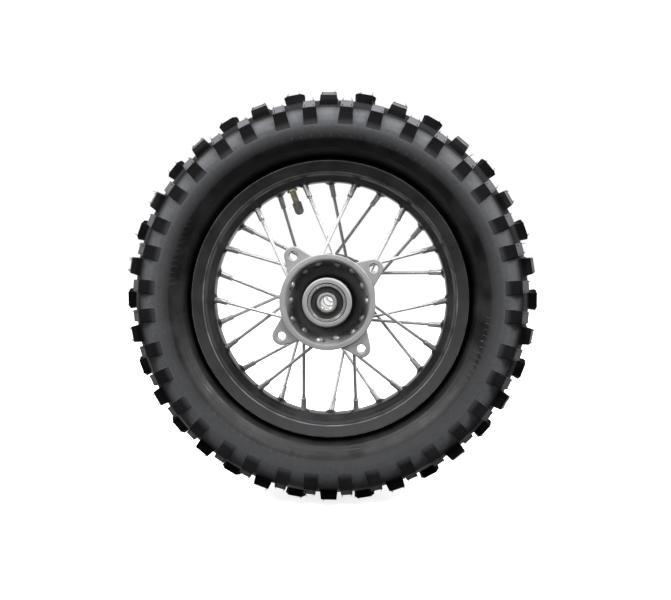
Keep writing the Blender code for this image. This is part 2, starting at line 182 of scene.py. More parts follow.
room = bpy.data.worlds.new("white_room")
room.use_nodes = True
tree = room.node_tree
tree.nodes.clear()
seen = add(tree, "LightPath")
facing = add(tree, "TexCoord").outputs["Generated"]
facing = add(tree, "SeparateXYZ", {"Vector": facing}).outputs["Y"]
lit = add(tree, "MapRange", {0: facing, 1: 0.0, 2: ROOM_TURN, 3: ROOM_FRONT, 4: ROOM_BEHIND})
strength = add(tree, "Mix", {0: seen.outputs["Is Camera Ray"], 2: lit, 3: ROOM_WHITE})
glow = add(tree, "Background", {"Color": "#ffffff", "Strength": strength})
add(tree, "OutputWorld", {"Surface": glow})
bpy.context.scene.world = room
bpy.context.scene.view_settings.view_transform = "Standard"

lens = bpy.data.cameras.new("studio_camera")
lens.lens = CAMERA_LENS
lens.sensor_width = 36.0
lens.shift_x, lens.shift_y = CAMERA_SHIFT
lens.clip_start = 0.01
camera = bpy.data.objects.new("studio_camera", lens)
azimuth, elevation = np.radians([CAMERA_AZIMUTH, CAMERA_ELEVATION])
eye = Vector((
    np.sin(azimuth) * np.cos(elevation), -np.cos(azimuth) * np.cos(elevation), np.sin(elevation),
)) * CAMERA_DISTANCE * MM
camera.location = eye
camera.rotation_euler = (-eye).to_track_quat("-Z", "Y").to_euler()
bpy.context.scene.collection.objects.link(camera)
bpy.context.scene.camera = camera

# ======== hub
# One aluminium die casting: a boss for each bearing, a dished flange at each end, four ears with
# bolt holes on the near flange for the sprocket, four bosses on the far one, then a grey coat.
SPOKES_A_SIDE = 14
SPOKE_PITCH = 360 / SPOKES_A_SIDE
NIPPLE_SEAT_RADIUS = 121.6
NIPPLE_OFFSET = 3.5
# The two rows of spoke heads in a flange: (lean, distance from the centre plane, seat radius).
SPOKE_ROWS = np.array([(1.0, 39.5, 39.9), (-1.0, 33.5, 38.5)])
FLANGE_SIDES = {"near": (-1.0, SPOKE_PITCH), "far": (1.0, SPOKE_PITCH / 2)}
HUB_STEPS = 224
FLANGE_RADIUS = 46.0
# Half of the hub's section: (radius, distance from the centre plane, how far the corner is rounded).
HUB_HALF = [
    (14.6, 43.7, 0.3), (18.8, 43.7, 0.3), (18.8, 57.0, 0.5), (23.5, 57.0, 1.7), (23.9, 24.6, 4.0),
    (34.6, 24.9, 5.0), (40.4, 50.4, 0.3), (41.4, 50.4, 0.2), (41.6, 51.0, 0.3),
    (FLANGE_RADIUS, 51.0, 0.8), (FLANGE_RADIUS, 45.6, 0.9), (43.5, 44.0, 0.8), (43.1, 26.0, 3.6),
    (38.5, 20.6, 3.5), (31.0, 17.6, 4.0), (27.0, 8.0, 5.0),
]
LUG_ANGLES = np.array([36.3, 126.3, 216.3, 306.3])
LUG_CIRCLE = 55.0
LUG_TIP = 9.0
LUG_SPREAD = 20.0
LUG_ROOT, LUG_FOOT = 42.0, 45.0  # radii of its root and of the foot of its flanks, in the flange
LUG_MIDDLE = 50.0
LUG_FACES = (42.0, 49.0)
LUG_EDGE = 1.1  # how far its edges are rounded
LUG_HOLE = 4.0
LUG_CHAMFER = 3.9  # of the cutter, which starts outside the lug's faces
PAD_ANGLES = np.array([54.0, 144.0, 234.0, 324.0])
PAD_CIRCLE = 40.5
PAD_RADIUS = 6.5
PAD_HOLE = 2.6
HEAD_POCKET, WIRE_HOLE = 4.2, 2.1


def round_axle(radius, angle, y):
    """Points at a radius and an angle in degrees round the axle, and a place along it."""
    radius, angle, y = np.broadcast_arrays(radius, np.radians(angle), y)
    return np.stack([radius * np.cos(angle), y, radius * np.sin(angle)], -1)


def unit(vectors):
    """Each row divided by its length."""
    return vectors / np.linalg.norm(vectors, axis=1, keepdims=True)


def rounded(corners, steps=4, closed=True):
    """An outline through corners of (x, y, setback). Each corner gives way to the parabola that
    leaves one side and meets the other its setback away: p = (1-t)^2 a + 2t(1-t) corner + t^2 b."""
    corners = np.asarray(corners, float)
    spot, setback = corners[:, :2], corners[:, 2:]
    before, after = np.roll(spot, 1, 0) - spot, np.roll(spot, -1, 0) - spot
    if not closed:
        before[0], after[-1], setback[0], setback[-1] = after[0], before[-1], 0, 0
    start, end = spot + setback * unit(before), spot + setback * unit(after)
    t = np.linspace(0, 1, steps)[:, None]
    arc = (1 - t) ** 2 * start[:, None] + 2 * t * (1 - t) * spot[:, None] + t ** 2 * end[:, None]
    arc = arc.reshape(-1, 2)
    keep = np.linalg.norm(arc - np.roll(arc, 1, 0), axis=1) > 1e-4
    keep[0] = True
    return arc[keep]


def mirrored(half):
    """A closed outline from its near half, with the far half as its mirror image."""
    half = np.asarray(half, float)
    near = half * [1, -1, 1]
    return np.concatenate([near, half[::-1]])


def turned(outline, steps):
    """A closed (radius, y) outline turned about the axle: x = r cos t, z = r sin t."""
    radius, y = np.asarray(outline, float).T
    angle = np.linspace(0, 360, steps, endpoint=False)[:, None]
    return grid(round_axle(radius, angle, y), True, True)


def spindle(profile, starts, runs, sides, flats=None):
    """Profiles of (distance, radius) carried along straight lines, one for each start and run:
    p = start + distance * run + radius * (cos a * across + sin a * up). It closes where the radius
    is nothing. Flats cut the round to a square: radius = min(radius, flat / max(|cos a|, |sin a|))."""
    distance, radius = np.asarray(profile, float).T
    starts, runs = np.atleast_2d(starts), np.atleast_2d(runs)
    helper = np.where(np.abs(runs[:, 1:2]) < 0.9, [[0.0, 1.0, 0.0]], [[1.0, 0.0, 0.0]])
    across = unit(np.cross(runs, helper))
    up = np.cross(runs, across)
    angle = np.linspace(0, 2 * np.pi, sides, endpoint=False)
    cos, sin = np.cos(angle), np.sin(angle)
    radius = radius[:, None] + 0 * angle
    if flats is not None:
        radius = np.minimum(radius, np.asarray(flats)[:, None] / np.maximum(abs(cos), abs(sin)))
    ring = (radius * cos)[None, ..., None] * across[:, None, None]
    ring = ring + (radius * sin)[None, ..., None] * up[:, None, None]
    middle = starts[:, None, None] + distance[None, :, None, None] * runs[:, None, None]
    return grid(middle + ring, wrap_columns=True)


def spoke_ends(side_name):
    """The head's seat, the nipple's seat and the unit run between them for a flange's 14 spokes.
    Spokes leave the flange in turn, one leaning forward from the outer row of holes and the next
    leaning back from the inner row."""
    side, first = FLANGE_SIDES[side_name]
    number = np.arange(SPOKES_A_SIDE)
    lean, distance, seat = SPOKE_ROWS[number % 2].T
    rim_angle = first + number * SPOKE_PITCH
    head = round_axle(seat, rim_angle + lean * SPOKE_PITCH, side * distance)
    nipple = round_axle(NIPPLE_SEAT_RADIUS, rim_angle, side * NIPPLE_OFFSET)
    return head, nipple, unit(nipple - head)


def lug_shells():
    """Four ears. The outline is the tip's arc, two straight flanks and a root buried in the flange.
    Across the thickness it shrinks by its edge radius: inset = e * (1 - sin(turn)), y = e * cos."""
    spread = np.radians(LUG_SPREAD)
    foot = np.array([FLANGE_RADIUS * np.cos(spread) - LUG_CIRCLE, FLANGE_RADIUS * np.sin(spread)])
    tangent = np.arctan2(foot[1], foot[0]) - np.arccos(LUG_TIP / np.hypot(*foot))
    sweep = np.linspace(-tangent, tangent, 25)
    tip = np.stack([LUG_CIRCLE + LUG_TIP * np.cos(sweep), LUG_TIP * np.sin(sweep)], -1)
    root = round_axle(LUG_ROOT, LUG_SPREAD * np.linspace(1.0, -1.0, 7), 0.0)[:, [0, 2]]
    foot = round_axle(LUG_FOOT, LUG_SPREAD * np.array([1.0, -1.0]), 0.0)[:, [0, 2]]
    outline = np.concatenate([tip, foot[:1], root, foot[1:]])
    step = np.roll(outline, -1, 0) - np.roll(outline, 1, 0)
    normal = unit(np.stack([step[:, 1], -step[:, 0]], -1))
    turn = np.radians(np.array([0.0, 30.0, 60.0, 90.0]))
    inset = LUG_EDGE * (1 - np.sin(turn))
    low = LUG_FACES[0] + LUG_EDGE * (1 - np.cos(turn))
    rings = [outline - normal * shrink for shrink in (*inset, *inset[::-1])]
    levels = (*low, *(sum(LUG_FACES) - low)[::-1])
    centre = np.broadcast_to([LUG_MIDDLE, 0.0], outline.shape)
    rings = np.array([centre, *rings, centre])
    levels = np.array([LUG_FACES[0], *levels, LUG_FACES[1]])[:, None]
    angle = np.radians(LUG_ANGLES)[:, None, None]
    x = rings[..., 0] * np.cos(angle) - rings[..., 1] * np.sin(angle)
    z = rings[..., 0] * np.sin(angle) + rings[..., 1] * np.cos(angle)
    return grid(np.stack([x, np.broadcast_to(-levels, x.shape), z], -1), wrap_columns=True)


def combined(target, tools, operation):
    """The target's mesh after one exact Boolean with each tool, which is then thrown away."""
    for tool in tools:
        step = target.modifiers.new(operation, "BOOLEAN")
        step.operation, step.solver, step.object = operation, "EXACT", tool
    bpy.context.view_layer.update()
    whole = bpy.data.meshes.new_from_object(target.evaluated_get(bpy.context.evaluated_depsgraph_get()))
    target.modifiers.clear()
    target.data = whole
    for tool in tools:
        bpy.data.objects.remove(tool)
    whole.shade_smooth()
    whole.set_sharp_from_angle(angle=np.radians(CREASE))
    return target


def flatten_shading(made):
    """Lets the large faces set the shading, so that they stay flat and only the rounded edges turn."""
    step = made.modifiers.new("flat_faces", "WEIGHTED_NORMAL")
    step.mode, step.keep_sharp, step.weight = "FACE_AREA", True, 50


def measured(tree, spot, kept):
    """How many millimetres a point lies from the axle or from the centre plane: the length of what
    is kept of its place, which is x and z, or y."""
    part = add(tree, "VectorMath", {0: spot, 1: kept}, operation="MULTIPLY")
    return add(tree, "VectorMath", {0: part}, operation="LENGTH")


# A satin grey coat over the casting's own skin: fine orange-peel grain, faintly mottled. Painted shade
# darkens the dish, inside its edge and below its lip, and less up its wall than on its floor.
GRAIN_MM = 0.9
MOTTLE_MM = 14.0
FROM_AXLE = (1 / MM, 0.0, 1 / MM)
FROM_CENTRE = (0.0, 1 / MM, 0.0)
# radii and depths that bound the painted shade in the dish
DISH_EDGE = (40.2, 40.8)
DISH_LIP = (49.4, 50.4)
DISH_WALL = (27.0, 38.5)
cast_grey, tree, spot = new_finish("grey_coated_cast_aluminium")
grain = add(tree, "TexNoise", {0: spot, "Scale": 1000 / GRAIN_MM, "Detail": 3.0})
mottle = add(tree, "TexNoise", {0: spot, "Scale": 1000 / MOTTLE_MM, "Detail": 5.0})
tone = add(tree, "MapRange", {0: mottle, 1: 0.3, 2: 0.7})
coat = add(tree, "Mix", {0: tone, 6: "#9d9d9d", 7: "#aaaaa9"}, data_type="RGBA")
radius = measured(tree, spot, FROM_AXLE)
depth = measured(tree, spot, FROM_CENTRE)
inside = add(tree, "MapRange", {0: radius, 1: DISH_EDGE[0], 2: DISH_EDGE[1], 3: 1.0, 4: 0.0})
below = add(tree, "MapRange", {0: depth, 1: DISH_LIP[0], 2: DISH_LIP[1], 3: 1.0, 4: 0.0})
deep = add(tree, "MapRange", {0: radius, 1: DISH_WALL[0], 2: DISH_WALL[1], 3: 1.0, 4: 0.24})
# painted shade: the dish's colour is mixed towards near black, most on its floor
painted_dish_shade = add(tree, "Math", {0: inside, 1: below}, operation="MULTIPLY")
painted_dish_shade = add(tree, "Math", {0: painted_dish_shade, 1: deep}, operation="MULTIPLY")
colour = add(tree, "Mix", {0: painted_dish_shade, 6: coat, 7: "#2a2a2a"}, data_type="RGBA")
gloss = add(tree, "MapRange", {0: grain, 1: 0.3, 2: 0.7, 3: 0.46, 4: 0.62})
skin = add(tree, "Bump", {"Height": grain, "Strength": 0.35, "Distance": 0.12 * MM})
bsdf = add(tree, "BsdfPrincipled", {
    "Base Color": colour, "Metallic": 0.12, "Roughness": gloss, "Normal": skin,
})
add(tree, "OutputMaterial", {0: bsdf})

hub = make_piece("cast_hub", [turned(rounded(mirrored(HUB_HALF)), HUB_STEPS)], cast_grey)
lugs = make_piece("lug_blanks", [lug_shells()], cast_grey)
pad_profile = [
    (44.0, 0.0), (44.0, PAD_RADIUS), (51.2, PAD_RADIUS), (51.8, PAD_RADIUS - 0.25),
    (52.0, PAD_RADIUS - 0.8), (52.0, 0.0),
]
axle = np.array([0.0, 1.0, 0.0])
pads = make_piece("pad_blanks", [
    spindle(pad_profile, round_axle(PAD_CIRCLE, PAD_ANGLES, 0.0), np.tile(axle, (4, 1)), 32),
], cast_grey)
lug_hole_profile = [
    (39.0, 0.0), (39.0, LUG_HOLE + LUG_CHAMFER), (39.0 + LUG_CHAMFER, LUG_HOLE),
    (52.0 - LUG_CHAMFER, LUG_HOLE), (52.0, LUG_HOLE + LUG_CHAMFER), (52.0, 0.0),
]
pad_hole_profile = [(44.0, 0.0), (44.0, PAD_HOLE), (51.5, PAD_HOLE), (53.0, PAD_HOLE + 1.5), (53.0, 0.0)]
head_hole_profile = [
    (-8.0, 0.0), (-8.0, HEAD_POCKET), (0.3, HEAD_POCKET), (0.3, WIRE_HOLE), (14.0, WIRE_HOLE), (14.0, 0.0),
]
hole_shells = [
    spindle(lug_hole_profile, round_axle(LUG_CIRCLE, LUG_ANGLES, 0.0), np.tile(-axle, (4, 1)), 32),
    spindle(pad_hole_profile, round_axle(PAD_CIRCLE, PAD_ANGLES, 0.0), np.tile(axle, (4, 1)), 24),
]
for side_name in FLANGE_SIDES:
    head, _, run = spoke_ends(side_name)
    hole_shells.append(spindle(head_hole_profile, head, run, 16))
combined(hub, [lugs, pads], "UNION")
combined(hub, [make_piece("hub_hole_tools", hole_shells, cast_grey)], "DIFFERENCE")
flatten_shading(hub)
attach(hub, "wheel")
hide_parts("hub")

# ======== wheel bearings and spacer
# Two sealed deep-groove ball bearings, 12 x 37 x 12, pressed into the hub: ground steel rings,
# seven balls in a pressed cage, moulded nitrile seals. A plated tube keeps their inner rings apart.
BEARING_FACES = (44.0, 56.0)
BEARING_MIDDLE = sum(BEARING_FACES) / 2
BEARING_BORE = 6.0
BEARING_RADIUS = 18.5
INNER_RING_RADIUS = 9.75
OUTER_RING_INSIDE = 15.2
SEAL_SEAT, SEAL_SEAT_DEPTH = 15.6, 1.6
BALL_CIRCLE = 12.25
BALL_RADIUS = 3.969
GROOVE_RADIUS = 4.2
BALLS = 7
CAGE_POCKET = 4.15
CAGE_GAP = 0.3  # between the cage's halves and the balls' plane
CAGE_RIBBON = np.array([(11.6, 0.0), (12.9, 0.0), (12.9, 0.45), (11.6, 0.45)])
SEAL_HALF = [
    (15.4, 54.75, 0.1), (15.4, 55.7, 0.25), (14.7, 55.7, 0.25), (14.4, 55.4, 0.2),
    (11.3, 55.4, 0.2), (11.0, 55.65, 0.2), (10.1, 55.6, 0.2), (10.1, 54.9, 0.2),
]
SPACER_OUTLINE = [
    (6.7, -43.7, 0.4), (8.5, -43.7, 0.4), (8.5, 43.7, 0.4), (6.2, 43.7, 0.3), (6.2, -8.0, 0.3),
    (6.7, -8.8, 0.2),
]
BEARING_STEPS = 128

# Bearing steel, centreless ground and oiled: fine rings round the axle in a bright, tight gloss,
# and painted light in the bore, which is coloured near white, brighter than the rest.
RING_LINES_MM = 0.35  # coarser than the real lines, so that they show
BORE_LIGHT_RADII = (6.1, 6.4)
ground_steel, tree, spot = new_finish("ground_bearing_steel")
radius = measured(tree, spot, FROM_AXLE)
ring_lines = {"W": radius, "Scale": 1 / RING_LINES_MM, "Detail": 2.0}
lines = add(tree, "TexNoise", ring_lines, noise_dimensions="1D")
gloss = add(tree, "MapRange", {0: lines, 1: 0.3, 2: 0.7, 3: 0.2, 4: 0.34})
turn_marks = add(tree, "Bump", {"Height": lines, "Strength": 0.2, "Distance": 0.02 * MM})
# painted light: the bore's colour is mixed to near white
painted_bright_bore = add(tree, "MapRange", {0: radius, 1: BORE_LIGHT_RADII[0], 2: BORE_LIGHT_RADII[1], 3: 1.0, 4: 0.0})
tone = add(tree, "Mix", {0: painted_bright_bore, 6: "#a3a3a1", 7: "#f2f2f0"}, data_type="RGBA")
bsdf = add(tree, "BsdfPrincipled", {
    "Base Color": tone, "Metallic": 0.8, "Roughness": gloss, "Normal": turn_marks,
})
add(tree, "OutputMaterial", {0: bsdf})

# Nitrile rubber, moulded on a steel ring: black, satin, with a trace of grease.
GREASE_MM = 5.0
nitrile, tree, spot = new_finish("moulded_nitrile_rubber")
smears = add(tree, "TexNoise", {0: spot, "Scale": 1000 / GREASE_MM, "Detail": 4.0})
gloss = add(tree, "MapRange", {0: smears, 1: 0.3, 2: 0.7, 3: 0.32, 4: 0.5})
bsdf = add(tree, "BsdfPrincipled", {"Base Color": "#161617", "Roughness": gloss})
add(tree, "OutputMaterial", {0: bsdf})

# Bright zinc plate over steel: pale and satin on the drawn wires, greyer with a faint bloom on the
# nipples, and almost a mirror inside the spacer's bore, whose near-white colour is painted light.
BLOOM_MM = 6.0
# radii of the spacer's bore, where light is painted in
SPACER_BORE = (6.8, 7.2)
WIRE_END = (98.0, 101.0)  # where the wires run into their nipples
zinc, tree, spot = new_finish("bright_zinc_plated_steel")
bloom = add(tree, "TexNoise", {0: spot, "Scale": 1000 / BLOOM_MM, "Detail": 5.0})
tone = add(tree, "MapRange", {0: bloom, 1: 0.35, 2: 0.65})
colour = add(tree, "Mix", {0: tone, 6: "#b9b9b6", 7: "#cbcbc9"}, data_type="RGBA")
gloss = add(tree, "MapRange", {0: bloom, 1: 0.3, 2: 0.7, 3: 0.34, 4: 0.42})
radius = measured(tree, spot, FROM_AXLE)
painted_bright_bore = add(tree, "MapRange", {0: radius, 1: SPACER_BORE[0], 2: SPACER_BORE[1], 3: 1.0, 4: 0.0})
drawn = add(tree, "MapRange", {0: radius, 1: WIRE_END[0], 2: WIRE_END[1], 3: 1.0, 4: 0.0})
colour = add(tree, "Mix", {0: drawn, 6: colour, 7: "#cececc"}, data_type="RGBA")
# painted light: the spacer's bore is coloured near white
colour = add(tree, "Mix", {0: painted_bright_bore, 6: colour, 7: "#fafaf8"}, data_type="RGBA")
gloss = add(tree, "Mix", {0: painted_bright_bore, 2: gloss, 3: 0.14})
metal = add(tree, "Mix", {0: drawn, 2: 0.6, 3: 0.4})
metal = add(tree, "Mix", {0: painted_bright_bore, 2: metal, 3: 0.95})
bsdf = add(tree, "BsdfPrincipled", {"Base Color": colour, "Metallic": metal, "Roughness": gloss})
add(tree, "OutputMaterial", {0: bsdf})


def race(ring_radius, away):
    """The ball groove across a ring's face: r = circle + away * sqrt(groove^2 - (y - middle)^2)."""
    reach = np.sqrt(GROOVE_RADIUS ** 2 - (ring_radius - BALL_CIRCLE) ** 2)
    y = np.linspace(-reach, reach, 9)
    groove = BALL_CIRCLE + away * np.sqrt(GROOVE_RADIUS ** 2 - y ** 2)
    return np.stack([groove, BEARING_MIDDLE + y, 0 * y], -1)


def ball_shells(side):
    """Seven true spheres: p = centre + R (sin v cos u, cos v, sin v sin u)."""
    angle = np.arange(BALLS) * 360 / BALLS
    centre = round_axle(BALL_CIRCLE, angle, side * BEARING_MIDDLE)
    v = np.linspace(0, np.pi, 13)[:, None]
    u = np.linspace(0, 2 * np.pi, 20, endpoint=False)
    ball = np.stack([np.sin(v) * np.cos(u), np.cos(v) + 0 * u, np.sin(v) * np.sin(u)], -1)
    return grid(centre[:, None, None] + BALL_RADIUS * ball, wrap_columns=True)


def cage_shell(side, half):
    """Half of the pressed cage: a ribbon whose middle runs flat between the balls and swells round
    each, y = gap + sqrt(max(0, pocket^2 - d^2)), with d the distance to the nearest ball."""
    angle = np.linspace(0, 360, 196, endpoint=False)
    off = (angle + 180 / BALLS) % (360 / BALLS) - 180 / BALLS
    swell = np.sqrt(np.maximum(0.0, CAGE_POCKET ** 2 - (BALL_CIRCLE * np.radians(off)) ** 2))
    y = side * BEARING_MIDDLE + half * (CAGE_GAP + swell[:, None] + CAGE_RIBBON[:, 1])
    return grid(round_axle(CAGE_RIBBON[:, 0], angle[:, None], y), True, True)


inner_face, outer_face = BEARING_FACES
seat_floor, far_seat_floor = outer_face - SEAL_SEAT_DEPTH, inner_face + SEAL_SEAT_DEPTH
outer_outline = np.concatenate([
    [(BEARING_RADIUS, inner_face, 0.9), (BEARING_RADIUS, outer_face, 0.7), (17.1, outer_face, 0.1),
     (16.95, 55.8, 0.05), (16.8, outer_face, 0.1), (SEAL_SEAT, outer_face, 0.3),
     (SEAL_SEAT, seat_floor, 0.1), (OUTER_RING_INSIDE, seat_floor, 0.2)],
    race(OUTER_RING_INSIDE, 1.0)[::-1],
    [(OUTER_RING_INSIDE, far_seat_floor, 0.2), (SEAL_SEAT, far_seat_floor, 0.1),
     (SEAL_SEAT, inner_face, 0.3)],
])
inner_outline = np.concatenate([
    [(BEARING_BORE, outer_face, 0.6), (BEARING_BORE, inner_face, 0.6),
     (INNER_RING_RADIUS, inner_face, 0.4)],
    race(INNER_RING_RADIUS, -1.0),
    [(INNER_RING_RADIUS, outer_face, 0.4)],
])
seal = np.array(SEAL_HALF)
inside_seal = seal * [1, -1, 1] + [0, sum(BEARING_FACES), 0]
turned_pieces = (
    ("outer_ring", outer_outline, ground_steel, "wheel", "bearing_steel"),
    ("inner_ring", inner_outline, ground_steel, "axle_sleeve", "bearing_steel"),
    ("outside_seal", seal, nitrile, "wheel", "bearing_seal"),
    ("inside_seal", inside_seal, nitrile, "wheel", "bearing_seal"),
)
for side_name, side in (("near", -1.0), ("far", 1.0)):
    for name, outline, finish, body, slot in turned_pieces:
        shell = turned(rounded(outline * [1, side, 1]), BEARING_STEPS)
        ring = make_piece(f"{side_name}_{name}", [shell], finish)
        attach(ring, body)
        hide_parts(f"{side_name}_bearing_{name}")
    balls = make_piece(
        f"{side_name}_balls_in_cage", [ball_shells(side), cage_shell(side, 1), cage_shell(side, -1)],
        ground_steel,
    )
    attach(balls, f"{side_name}_balls")
    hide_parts(f"{side_name}_bearing_ball_cage")

spacer = make_piece("plated_spacer_tube", [turned(rounded(SPACER_OUTLINE), 96)], zinc)
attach(spacer, "axle_sleeve")
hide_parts("bearing_spacer")

# ======== spokes and nipples
# 28 drawn steel wires with upset heads, pushed outwards through the flanges and screwed into long
# nipples that hang from dimples in the rim. Both are zinc plated. The nipple's shank is squared.
WIRE_RADIUS = 1.6
WIRE_SHORT = 1.0  # it stops this far before the nipple's seat
HEAD_RADIUS = 3.5
HEAD_HEIGHT = 4.7
NIPPLE_LENGTH = 19.0
NIPPLE_RADIUS = 2.95
NIPPLE_FLAT = 2.6  # half the width across the square flats
NIPPLE_HEAD = 3.4
ROUND = 9.0  # flats too wide to cut anything
# Along the nipple from its seat, towards the hub: (distance, radius, half width of the flats).
NIPPLE_PROFILE = np.array([
    (1.5, 0.0, ROUND), (1.5, 2.2, ROUND), (0.9, 3.1, ROUND), (0.2, NIPPLE_HEAD, ROUND),
    (-2.6, NIPPLE_HEAD, ROUND), (-3.4, NIPPLE_RADIUS, ROUND), (-9.2, NIPPLE_RADIUS, ROUND),
    (-9.8, NIPPLE_RADIUS, NIPPLE_FLAT), (-16.0, NIPPLE_RADIUS, NIPPLE_FLAT),
    (-16.5, 2.75, ROUND), (-18.6, 2.7, ROUND), (-NIPPLE_LENGTH, 2.4, ROUND),
    (-NIPPLE_LENGTH, 0.0, ROUND),
])

dome = np.radians(np.linspace(0, 90, 6))
head_profile = np.stack([-HEAD_HEIGHT * np.cos(dome), HEAD_RADIUS * np.sin(dome)], -1)
for side_name in FLANGE_SIDES:
    for number, (head, nipple, run) in enumerate(zip(*spoke_ends(side_name)), 1):
        length = np.linalg.norm(nipple - head)
        end = length - WIRE_SHORT
        neck = [(0.25, 2.3), (0.7, WIRE_RADIUS), (end, WIRE_RADIUS), (end, 0.0)]
        wire_shell = spindle(np.concatenate([head_profile, neck]), head, run, 14)
        wire = make_piece(f"spoke_wire_{side_name}_{number:02d}", [wire_shell], zinc)
        nipple_shell = spindle(NIPPLE_PROFILE[:, :2], nipple, run, 24, NIPPLE_PROFILE[:, 2])
        holder = make_piece(f"nipple_{side_name}_{number:02d}", [nipple_shell], zinc, sharp=28.0)
        for half in (wire, holder):
            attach(half, "wheel")
            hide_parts(f"spoke_{side_name}_{number:02d}")

# ======== rim
# A 10 inch rim, roll-formed from steel strip and butt welded. The well is pressed into a dimple
# for each nipple, drilled, and the whole is dipped and baked in black enamel.
RIM_STEPS = 392
DIMPLE_DEPTH = 2.3
DIMPLE_REACH = (6.4, 2.6)
DIMPLE_CIRCLE = 118.8
SIDE_STEP = 2.0  # the section's sides are cut this fine, so that the dimples show
VALVE_HOLE, NIPPLE_HOLE = 4.3, 3.0
RIM_HALF = [
    (117.8, 2.0, 0.0), (117.8, 8.0, 3.0), (123.6, 13.0, 3.0), (125.0, 18.8, 1.6), (126.3, 21.3, 0.6),
    (136.8, 24.0, 0.5), (137.5, 23.9, 0.3), (137.5, 22.5, 0.4), (135.2, 20.3, 0.9),
    (128.6, 20.3, 1.4), (126.6, 18.6, 0.9), (126.6, 13.4, 2.0), (119.8, 8.8, 2.6), (119.8, 2.0, 0.0),
]


def finer(outline, longest):
    """The same closed outline, with each side cut into equal steps no longer than this."""
    outline = np.asarray(outline, float)
    after = np.roll(outline, -1, 0)
    counts = np.ceil(np.linalg.norm(after - outline, axis=1) / longest).astype(int).clip(1)
    start, end = np.repeat(outline, counts, 0), np.repeat(after, counts, 0)
    share = np.concatenate([np.arange(count) / count for count in counts])[:, None]
    return start + (end - start) * share


def dimpled(points):
    """Rim points with the well pressed towards the axle round each nipple. The press is full inside
    one distance, nothing outside the other, and 3s^2 - 2s^3 between."""
    radius = np.hypot(points[..., 0], points[..., 2])
    press = np.zeros(radius.shape)
    far_out, full = DIMPLE_REACH
    drop = DIMPLE_CIRCLE / NIPPLE_SEAT_RADIUS
    for side_name in FLANGE_SIDES:
        _, nipples, _ = spoke_ends(side_name)
        for nipple in nipples * [drop, 1, drop]:
            away = np.linalg.norm(points - nipple, axis=-1)
            share = np.clip((far_out - away) / (far_out - full), 0, 1)
            press = np.maximum(press, share ** 2 * (3 - 2 * share))
    keep = 1 - DIMPLE_DEPTH * press / radius
    return points * np.stack([keep, np.ones(keep.shape), keep], -1)


# Baked black enamel: a deep, slightly wavy semi-gloss, hazed by handling, with painted highlights:
# pale, broken lines along the rolled knee and the outer edge of the lip.
HAZE_MM = 22.0
WAVE_MM = 3.5
KNEE, KNEE_HALF = 126.5, 0.5  # the rolled edge at the foot of the flange's outer face
LIP_RADIUS, LIP_DEPTH = 137.0, 20.6  # the lip is past the radius, its outer side past the depth
enamel, tree, spot = new_finish("baked_black_enamel")
haze = add(tree, "TexNoise", {0: spot, "Scale": 1000 / HAZE_MM, "Detail": 6.0})
wave = add(tree, "TexNoise", {0: spot, "Scale": 1000 / WAVE_MM, "Detail": 2.0})
radius = measured(tree, spot, FROM_AXLE)
depth = measured(tree, spot, FROM_CENTRE)
knee = add(tree, "Math", {0: radius, 1: KNEE, 2: KNEE_HALF}, operation="COMPARE")
lip = add(tree, "Math", {0: radius, 1: LIP_RADIUS}, operation="GREATER_THAN")
rolled = add(tree, "Math", {0: knee, 1: lip}, operation="MAXIMUM")
proud = add(tree, "Math", {0: depth, 1: LIP_DEPTH}, operation="GREATER_THAN")
rolled = add(tree, "Math", {0: rolled, 1: proud}, operation="MULTIPLY")
# painted highlight: the knee and the lip's edge are mixed towards a pale grey
painted_edge_highlight = add(tree, "MapRange", {0: haze, 1: 0.35, 2: 0.62, 3: 0.15, 4: 0.8})
painted_edge_highlight = add(tree, "Math", {0: rolled, 1: painted_edge_highlight}, operation="MULTIPLY")
tone = add(tree, "MapRange", {0: haze, 1: 0.35, 2: 0.65})
coat = add(tree, "Mix", {0: tone, 6: "#242426", 7: "#323235"}, data_type="RGBA")
colour = add(tree, "Mix", {0: painted_edge_highlight, 6: coat, 7: "#8b8880"}, data_type="RGBA")
gloss = add(tree, "MapRange", {0: haze, 1: 0.3, 2: 0.7, 3: 0.26, 4: 0.42})
peel = add(tree, "Bump", {"Height": wave, "Strength": 0.2, "Distance": 0.1 * MM})
bsdf = add(tree, "BsdfPrincipled", {"Base Color": colour, "Roughness": gloss, "Normal": peel})
add(tree, "OutputMaterial", {0: bsdf})

VALVE_ANGLE = 8.5 * SPOKE_PITCH / 2  # midway between two nipples
valve_run = round_axle(1.0, VALVE_ANGLE, 0.0)
rim_outline = finer(rounded(mirrored(RIM_HALF)), SIDE_STEP)
rim_angle = np.linspace(0, 360, RIM_STEPS, endpoint=False)[:, None]
rim_points = round_axle(rim_outline[:, 0], rim_angle, rim_outline[:, 1])
rim = make_piece("enamelled_rim", [grid(dimpled(rim_points), True, True)], enamel)
valve_hole_profile = [(108.0, 0.0), (108.0, VALVE_HOLE), (126.0, VALVE_HOLE), (126.0, 0.0)]
nipple_hole_profile = [(-12.0, 0.0), (-12.0, NIPPLE_HOLE), (6.0, NIPPLE_HOLE), (6.0, 0.0)]
rim_holes = [spindle(valve_hole_profile, [0, 0, 0], valve_run, 24)]
for side_name in FLANGE_SIDES:
    _, nipple, run = spoke_ends(side_name)
    rim_holes.append(spindle(nipple_hole_profile, nipple, run, 16))
combined(rim, [make_piece("rim_hole_tools", rim_holes, enamel)], "DIFFERENCE")
flatten_shading(rim)
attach(rim, "wheel")
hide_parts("rim")

# ======== rim strip and inner tube
# A flat rubber band stretched over the nipple heads, and on it an inflated butyl tube, dusted with
# talc. Both are hidden once the tyre is on.
BAND_HALF = [(125.4, 8.8, 0.3), (126.5, 8.8, 0.4)]
TUBE_HALF = [
    (127.6, 3.0, 0.0), (127.6, 9.6, 4.0), (137.6, 17.0, 6.0), (154.0, 29.8, 8.0), (168.0, 34.0, 6.0),
    (178.6, 29.2, 6.0), (190.6, 8.0, 5.0), (190.6, 2.0, 0.0),
]
TUBE_WALL = 2.4
TALC_MM = 9.0

